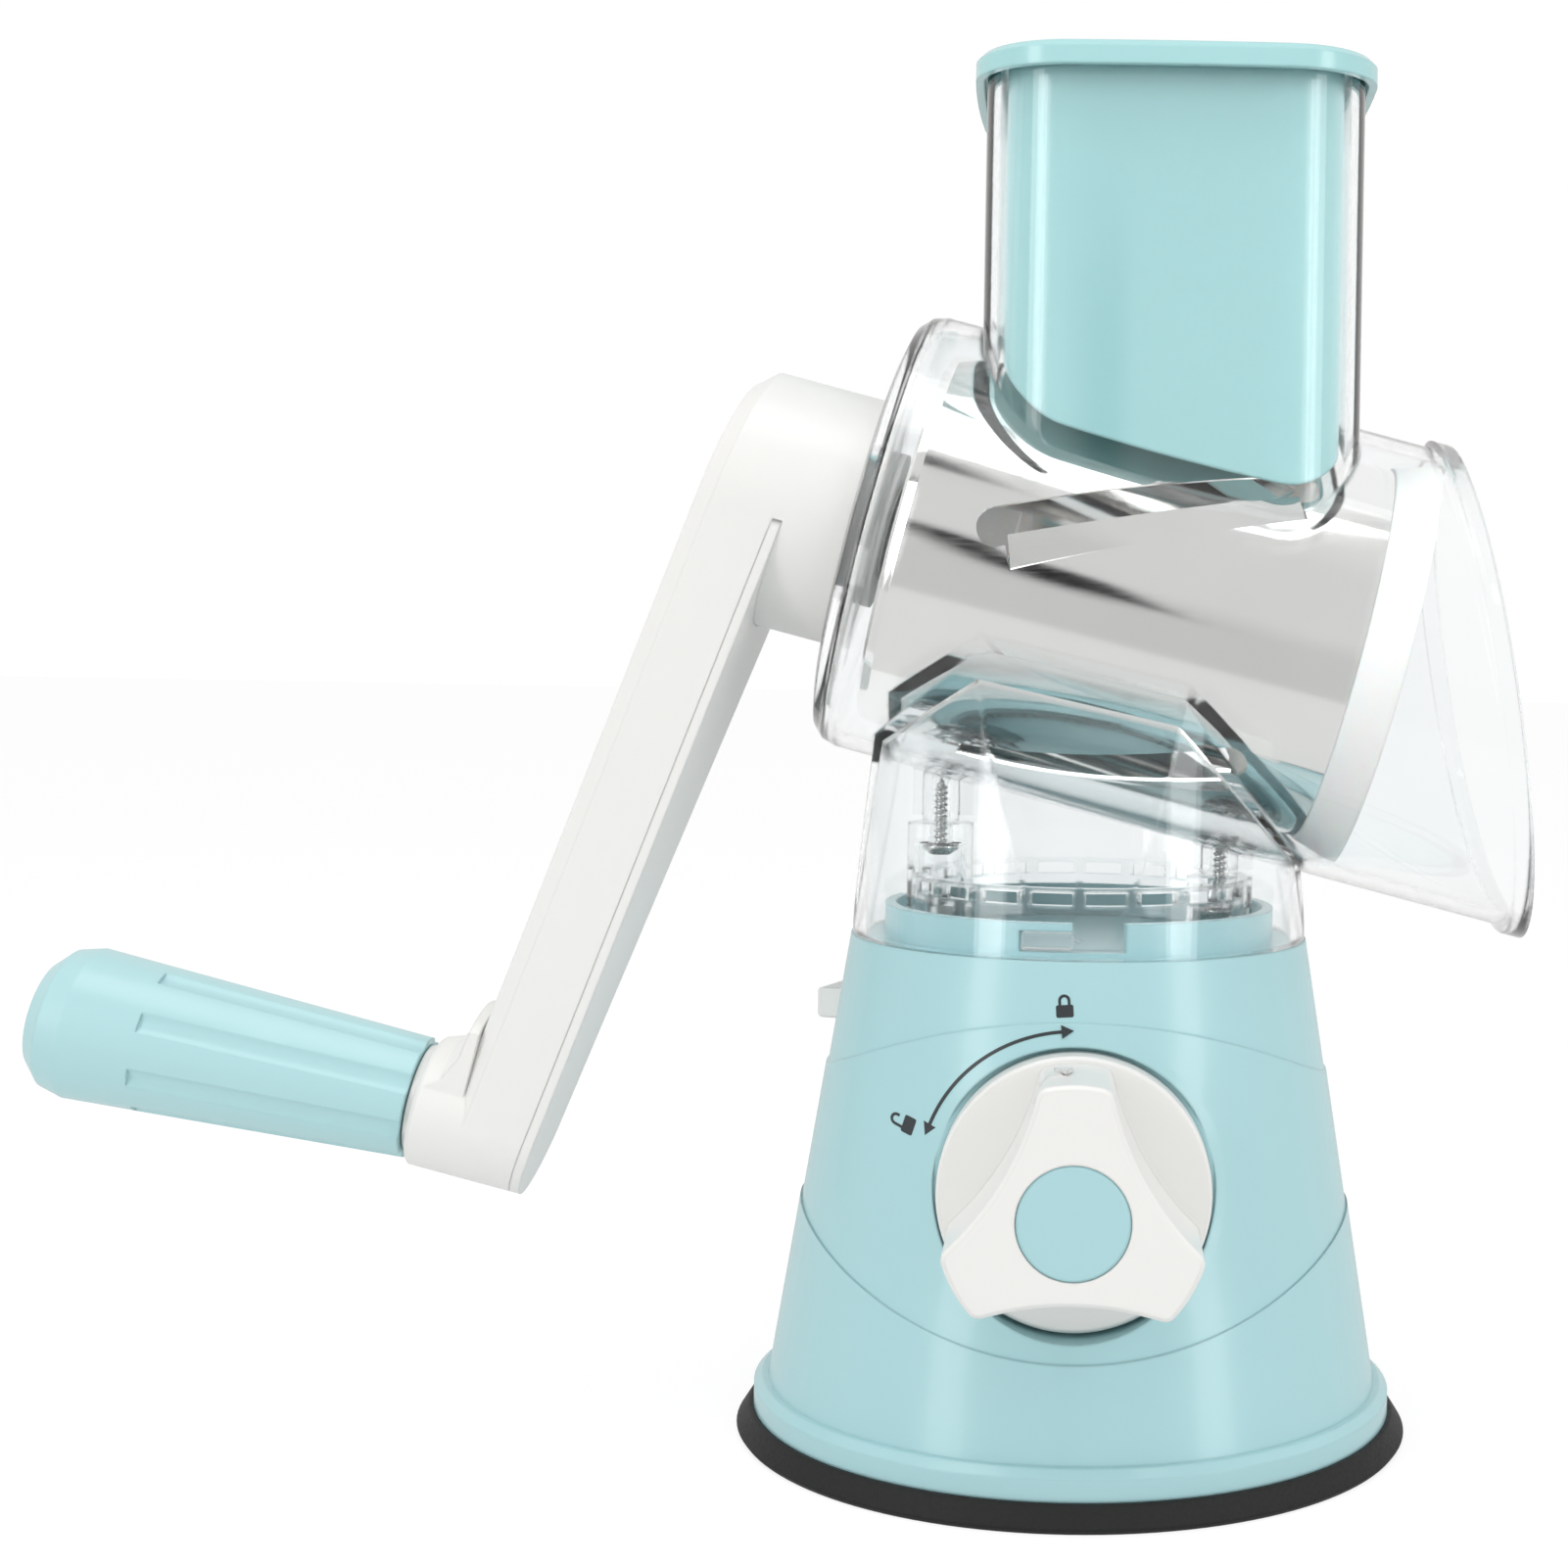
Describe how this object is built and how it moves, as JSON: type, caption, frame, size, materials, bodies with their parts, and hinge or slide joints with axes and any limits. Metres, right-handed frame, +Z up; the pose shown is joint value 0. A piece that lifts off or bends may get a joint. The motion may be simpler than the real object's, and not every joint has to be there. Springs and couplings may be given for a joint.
{
  "type": "rotary vegetable grater",
  "caption": "Hand-cranked drum grater with a clear housing and feed chute, pusher, tilted steel slicing drum and a tapered suction base with a lock knob.",
  "frame": {"origin": "on the table at the centre of the suction pad's sealing face, under the base's axis", "axes": "+Z up; +X towards the outlet mouth, with the drum's axis in the X-Z plane falling 14.1 degrees towards +X; -Y towards the lock knob"},
  "size_m": [0.2908, 0.138, 0.2615],
  "materials": {
    "pad_rubber": "satin black rubber",
    "base_teal": "soft gloss moulding",
    "inner_plastic": "natural unpainted moulding",
    "screw_steel": "zinc-plated",
    "white_plastic": "fine satin moulding",
    "spring_steel": "bright drawn",
    "clear_plastic": "polished clear moulding",
    "bush_plastic": "low-friction moulding",
    "drum_steel": "mirror-polished stainless steel",
    "outlet_plastic": "milky translucent moulding",
    "grip_teal": "soft gloss moulding",
    "pusher_teal": "gloss moulding"
  },
  "bodies": {
    "root": {"base_shell": "base_teal", "suction_pad": "pad_rubber", "base_floor": "inner_plastic", "floor_screws": "screw_steel", "cam_bracket": "inner_plastic", "bracket_screws": "screw_steel", "stem_spring": "spring_steel", "button_spring": "spring_steel", "drum_housing": "clear_plastic", "neck_ring": "clear_plastic", "neck_screws": "screw_steel", "rear_bush": "bush_plastic"},
    "knob": {"knob_body": "white_plastic", "knob_cap": "base_teal", "knob_screw": "screw_steel", "cam_shaft": "inner_plastic", "cam": "inner_plastic"},
    "stem": {"pull_stem": "inner_plastic", "cross_pin": "screw_steel"},
    "button": {"release_button": "white_plastic"},
    "crank": {"crank_arm": "white_plastic", "crank_cover": "white_plastic", "drive_shaft": "bush_plastic", "shaft_screw": "screw_steel", "grip_spindle": "spring_steel", "grip_collar": "white_plastic"},
    "grip": {"handle_grip": "grip_teal"},
    "drum": {"drum_shell": "drum_steel", "drum_hub": "outlet_plastic", "drum_outlet_ring": "outlet_plastic"},
    "pusher": {"pusher": "pusher_teal"}
  },
  "joints": [
    {"name": "crank_turn", "type": "hinge", "parent": "root", "child": "crank", "pos_m": [0, 0, 0.1636], "axis": [0.9699, 0, -0.2436], "continuous": true},
    {"name": "grip_spin", "type": "hinge", "parent": "crank", "child": "grip", "pos_m": [-0.12767, 0, 0.06008], "axis": [0.9796, 0, -0.2011], "continuous": true},
    {"name": "drum_pull_out", "type": "slide", "parent": "crank", "child": "drum", "axis": [0.9699, 0, -0.2436], "range_m": [0, 0.16]},
    {"name": "pusher_lift", "type": "slide", "parent": "root", "child": "pusher", "axis": [0, 0, 1], "range_m": [0, 0.08]},
    {"name": "knob_turn", "type": "hinge", "parent": "root", "child": "knob", "pos_m": [0, 0, 0.055], "axis": [0, -1, 0], "range_deg": [0, 62]},
    {"name": "stem_drop", "type": "slide", "parent": "root", "child": "stem", "axis": [0, 0, -1], "range_m": [0, 0.0045], "deforming": ["suction_pad", "stem_spring"]},
    {"name": "release_press", "type": "slide", "parent": "root", "child": "button", "axis": [0.9511, -0.309, 0], "range_m": [0, 0.003], "stiffness_N_per_m": 300, "springref_m": -0.001, "deforming": ["button_spring"]}
  ],
  "couplings": [
    {"joint": "stem_drop", "follows": "knob_turn", "m_per_rad": 0.0041585}
  ]
}
